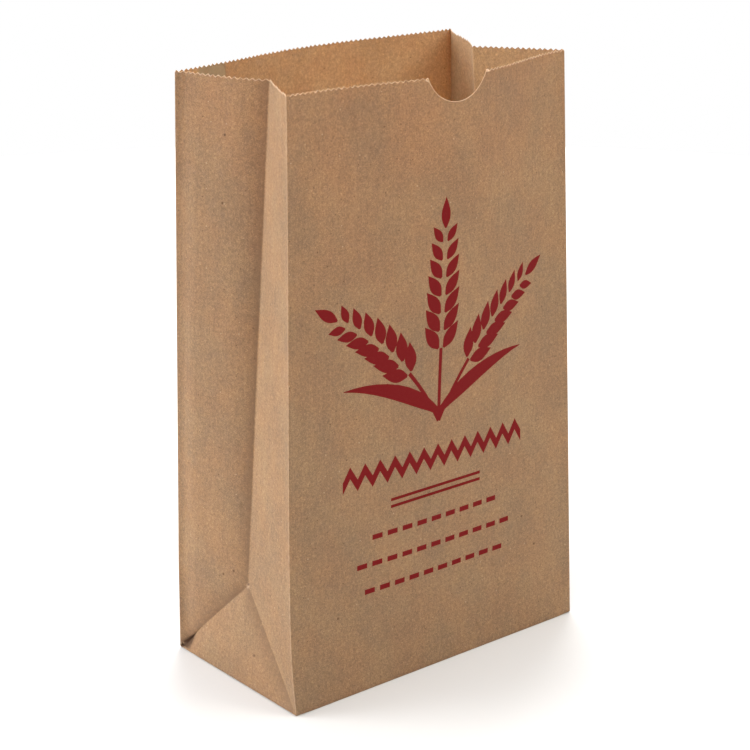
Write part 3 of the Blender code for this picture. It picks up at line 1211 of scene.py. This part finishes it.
class Look:
    """Short forms for building the nodes of one material, from the place on the flat sheet."""

    def __init__(self, name):
        self.material = bpy.data.materials.new(name)
        self.material.use_nodes = True
        self.tree = self.material.node_tree
        self.shader = self.tree.nodes["Principled BSDF"]
        self.place = self.measure("flat", "Vector")

    def node(self, kind, inputs, **settings):
        made = self.tree.nodes.new(kind)
        for key, value in settings.items():
            setattr(made, key, value)
        for socket, value in inputs.items():
            self.feed(made.inputs[socket], value)
        return made

    def feed(self, socket, value):
        if isinstance(value, bpy.types.NodeSocket):
            self.tree.links.new(value, socket)
        elif isinstance(value, tuple) and socket.type == "RGBA":
            socket.default_value = (*value, 1.0)
        else:
            socket.default_value = value

    def surface(self, settings):
        for name, value in settings.items():
            self.feed(self.shader.inputs[name], value)

    def measure(self, name, output="Fac"):
        return self.node("ShaderNodeAttribute", {}, attribute_name=name).outputs[output]

    def maths(self, operation, first, second):
        inputs = {0: first, 1: second}
        return self.node("ShaderNodeMath", inputs, operation=operation).outputs[0]

    def vectors(self, operation, inputs, output="Vector"):
        made = self.node("ShaderNodeVectorMath", inputs, operation=operation)
        return made.outputs[output]

    def ramp(self, value, low, high, bottom=0.0, top=1.0):
        """Smooth change from bottom to top as the value goes from low to high."""
        inputs = {"Value": value, "From Min": low, "From Max": high, "To Min": bottom, "To Max": top}
        made = self.node("ShaderNodeMapRange", inputs, interpolation_type="SMOOTHSTEP")
        return made.outputs["Result"]

    def blend(self, share, first, second):
        """Colour between two colours."""
        inputs = {"Factor": share, 6: first, 7: second}
        return self.node("ShaderNodeMix", inputs, data_type="RGBA").outputs[2]

    def stretched(self, length, width, turn=0.0):
        """The place on the sheet, measured in grains of this length and width."""
        inputs = {"Vector": self.place, "Rotation": (0.0, 0.0, turn), "Scale": (length, width, 1.0)}
        return self.node("ShaderNodeMapping", inputs, vector_type="TEXTURE").outputs[0]

    def cloud(self, grain, turn=0.0, detail=2.0, roughness=0.5):
        """Soft random pattern with grains of this size, from about 0.3 to 0.7."""
        grains = self.stretched(*grain, turn)
        inputs = {"Vector": grains, "Scale": 1.0, "Detail": detail, "Roughness": roughness}
        return self.node("ShaderNodeTexNoise", inputs).outputs["Fac"]

    def specks(self, specks):
        """How strongly round specks of this kind show at a place."""
        cells = self.stretched(specks.spacing, specks.spacing)
        inputs = {"Vector": cells, "Scale": 1.0}
        pattern = self.node("ShaderNodeTexVoronoi", inputs, voronoi_dimensions="2D")
        chance = self.node("ShaderNodeSeparateColor", {"Color": pattern.outputs["Color"]})
        largest = specks.radius / specks.spacing
        size = self.ramp(chance.outputs[1], 0.0, 1.0, largest * SMALLEST_SPECK, largest)
        core = self.maths("MULTIPLY", size, SPECK_CORE)
        spot = self.ramp(pattern.outputs["Distance"], core, size, specks.strength, 0.0)
        chosen = self.maths("LESS_THAN", chance.outputs[0], specks.share)
        return self.maths("MULTIPLY", spot, chosen)


def placed_specks(look):
    """How strongly the larger dark specks show at a place."""
    spots = 0.0
    for name, places in DARK_SPECKS.items():
        for along, height in places:
            centre = (WALLS[name].start + along, height, 0.0)
            gap = look.vectors("DISTANCE", {0: look.place, 1: centre}, "Value")
            spot = look.ramp(gap, DARK_SPECK_CORE, DARK_SPECK_RADIUS, DARK_SPECK_STRENGTH, 0.0)
            spots = look.maths("MAXIMUM", spot, spots)
    return spots


def sum_of(look, parts):
    """Sum of weighted random patterns, each centred on 0."""
    total = 0.0
    for pattern, weight in parts:
        centred = look.maths("SUBTRACT", pattern, 0.5)
        total = look.maths("ADD", look.maths("MULTIPLY", centred, weight), total)
    return total


def fibre_patterns(look):
    """Fibres of the paper at four angles, with the cloudy formation of the pulp."""
    fibres = []
    for turn in FIBRE_TURNS:
        fibre = look.cloud(FIBRE_GRAIN, math.radians(turn), detail=1.0)
        fibres.append((look.ramp(fibre, *FIBRE_RANGE), FIBRE_WEIGHT))
    pulp = look.cloud(PULP_GRAIN, detail=3.0, roughness=0.6)
    fine = look.cloud(FINE_GRAIN, detail=1.0)
    return fibres, pulp, fine


def paper_look(name, light, dark):
    """Kraft paper: mottled pulp, fibres, a faint machine direction and scattered specks."""
    look = Look(name)
    fibres, pulp, fine = fibre_patterns(look)
    broad = look.ramp(look.cloud(BROAD_GRAIN, detail=3.0), *BROAD_RANGE)
    mottle = look.cloud(MOTTLE_GRAIN, detail=3.0, roughness=0.7)
    mottle = look.ramp(mottle, *MOTTLE_RANGE)
    tone = look.maths("MULTIPLY", look.maths("ADD", broad, mottle), 0.5)
    machine = look.cloud(MACHINE_GRAIN)
    patterns = fibres + [(pulp, PULP_WEIGHT), (fine, FINE_WEIGHT), (machine, MACHINE_WEIGHT)]
    shade = look.maths("ADD", sum_of(look, patterns), 1.0)
    shaded = look.vectors("SCALE", {0: look.blend(tone, dark, light), "Scale": shade})
    drift = look.ramp(look.cloud(DRIFT_GRAIN, DRIFT_TURN), *DRIFT_RANGE)
    tint = look.blend(drift, COOL_DRIFT, WARM_DRIFT)
    colour = look.vectors("MULTIPLY", {0: shaded, 1: tint})
    for specks in SPECKS:
        colour = look.blend(look.specks(specks), colour, specks.colour)
    relief_of_fibres(look, fibres, pulp)
    look.surface(PAPER_SURFACE)
    return look, colour


def relief_of_fibres(look, fibres, pulp):
    height = sum_of(look, fibres + [(pulp, PULP_RISE)])
    inputs = {"Height": height, "Strength": RISE_STRENGTH, "Distance": FIBRE_RISE}
    look.surface({"Normal": look.node("ShaderNodeBump", inputs).outputs[0]})


def wear_and_painted_light(look, colour, marks):
    """The colour with wear, painted shade and painted highlights beside folds and edges, each broken
    up along its length.
    """
    patches = look.ramp(look.cloud(MARK_GRAIN, detail=3.0), *MARK_RANGE, MARK_LEAST)
    for mark in marks:
        distance = look.measure(mark.measure)
        near = look.ramp(distance, mark.reach * MARK_CORE, mark.reach, mark.strength, 0.0)
        colour = look.blend(look.maths("MULTIPLY", near, patches), colour, mark.colour)
    return colour


def outside_paper():
    look, colour = paper_look("kraft_outside", KRAFT_LIGHT, KRAFT_DARK)
    colour = wear_and_painted_light(look, colour, OUTSIDE_MARKS)
    # Painted shadow in the pocket under the rear fold, darkest where the dent is deepest
    pocket_shadow = look.ramp(look.measure("pocket"), *POCKET_SHADOW_RANGE, 0.0, POCKET_SHADOW_STRENGTH)
    colour = look.blend(pocket_shadow, colour, POCKET_SHADOW_COLOUR)
    colour = look.blend(placed_specks(look), colour, SPECK_COLOUR)
    look.surface({"Base Color": colour})
    return look.material


def inside_paper():
    # Painted light: the inside uses lighter, warmer copies of the kraft colours in place of light
    # through the sheet and bounced inside
    look, colour = paper_look("kraft_inside", INSIDE_LIT_LIGHT, INSIDE_LIT_DARK)
    lapped = look.maths("MULTIPLY", look.measure("lapped"), LAPPED_STRENGTH)
    colour = look.blend(lapped, colour, LAPPED_COLOUR)
    look.surface({"Base Color": wear_and_painted_light(look, colour, INSIDE_MARKS)})
    return look.material


def printed_ink():
    """Ink soaked into the paper, a little thinner where the fibres stand up."""
    look = Look("printed_ink")
    fibres, pulp, fine = fibre_patterns(look)
    uneven = look.maths("ADD", sum_of(look, fibres + [(pulp, INK_PULP), (fine, INK_FINE)]), INK_BASE)
    colour = look.blend(look.ramp(uneven, 0.0, 1.0), INK_COLOUR, INK_THIN_COLOUR)
    relief_of_fibres(look, fibres, pulp)
    look.surface(INK_SURFACE | {"Base Color": colour})
    return look.material


def cut_paper():
    """The paper's own thickness, where torn fibres stand out pale."""
    look = Look("cut_edge")
    patches = look.ramp(look.cloud(TORN_GRAIN), *TORN_RANGE)
    colour = look.blend(patches, WORN_AND_HIGHLIGHT_COLOUR, CUT_COLOUR)
    look.surface(CUT_SURFACE | {"Base Color": colour})
    return look.material


# Floor, light and camera

FLOOR_RADIUS = 1.1
FLOOR_SIDES = 96
SKY_STRENGTH = 0.16
SKY_SEEN = 1.0
WHITE = (1.0, 1.0, 1.0)
WARM = (1.0, 0.95, 0.84)

Lamp = namedtuple("Lamp", "name place size power colour", defaults=(WHITE,))

LAMPS = (
    Lamp("key_light", (-1.85, 1.45, 0.65), 1.6, 41.0),
    Lamp("high_light", (-1.75, 1.10, 1.70), 1.6, 14.0),
    Lamp("left_light", (-1.10, -0.75, 0.95), 0.9, 6.0),
    Lamp("front_light", (0.45, -0.75, 0.85), 0.6, 4.2, WARM),
    Lamp("low_light", (0.50, -1.30, 0.16), 0.3, 1.5, WARM),
    Lamp("rear_light", (1.50, 1.60, 1.60), 1.6, 48.0),
    Lamp("top_light", (0.0, 0.0, 2.6), 3.0, 60.0),
)
LIGHT_TARGET = Vector((0.0, 0.0, 0.13))

CAMERA_PLACE = (-0.5526, -0.6654, 0.4155)
CAMERA_YAW = math.radians(39.6)
CAMERA_PITCH = math.radians(18.48)
LENS = 96.8
SENSOR = 36.0
CLIP_START = 0.05
CLIP_END = 40.0


def add_floor():
    data = bpy.data.meshes.new("floor")
    turns = [math.tau * i / FLOOR_SIDES for i in range(FLOOR_SIDES)]
    corners = [(FLOOR_RADIUS * math.cos(t), FLOOR_RADIUS * math.sin(t), 0.0) for t in turns]
    data.from_pydata(corners, [], [list(range(FLOOR_SIDES))])
    floor = add_object("floor", data)
    floor.location.z = cad_box[0].z - PAPER / 4
    look = Look("pale_floor")
    look.surface(FLOOR_SURFACE)
    data.materials.append(look.material)


def add_sky():
    """A soft sky that is seen as pale as the floor."""
    world = bpy.data.worlds.new("pale_sky")
    world.use_nodes = True
    tree = world.node_tree
    path = tree.nodes.new("ShaderNodeLightPath")
    mix = tree.nodes.new("ShaderNodeMixShader")
    tree.links.new(path.outputs["Is Camera Ray"], mix.inputs[0])
    lighting = tree.nodes["Background"]
    seen = tree.nodes.new("ShaderNodeBackground")
    for index, background, strength in ((1, lighting, SKY_STRENGTH), (2, seen, SKY_SEEN)):
        background.inputs["Color"].default_value = (*WHITE, 1.0)
        background.inputs["Strength"].default_value = strength
        tree.links.new(background.outputs[0], mix.inputs[index])
    tree.links.new(mix.outputs[0], tree.nodes["World Output"].inputs["Surface"])
    bpy.context.scene.world = world


def add_lamp(lamp):
    data = bpy.data.lights.new(lamp.name, "AREA")
    data.shape = "DISK"
    data.size = lamp.size
    data.energy = lamp.power
    data.color = lamp.colour
    light = add_object(lamp.name, data)
    light.location = lamp.place
    to_target = LIGHT_TARGET - Vector(lamp.place)
    light.rotation_euler = to_target.to_track_quat("-Z", "Y").to_euler()


def add_camera():
    data = bpy.data.cameras.new("camera")
    data.lens = LENS
    data.sensor_width = SENSOR
    data.clip_start = CLIP_START
    data.clip_end = CLIP_END
    camera = add_object("camera", data)
    camera.location = CAMERA_PLACE
    camera.rotation_euler = (math.pi / 2 - CAMERA_PITCH, 0.0, -CAMERA_YAW)
    bpy.context.scene.camera = camera


def main():
    bpy.context.scene.view_settings.view_transform = "Standard"
    materials = [outside_paper(), printed_ink(), inside_paper(), cut_paper()]
    piece = build_sheet(materials)
    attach(piece, "root")
    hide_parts("paper_bag")
    add_floor()
    add_sky()
    for lamp in LAMPS:
        add_lamp(lamp)
    add_camera()


main()
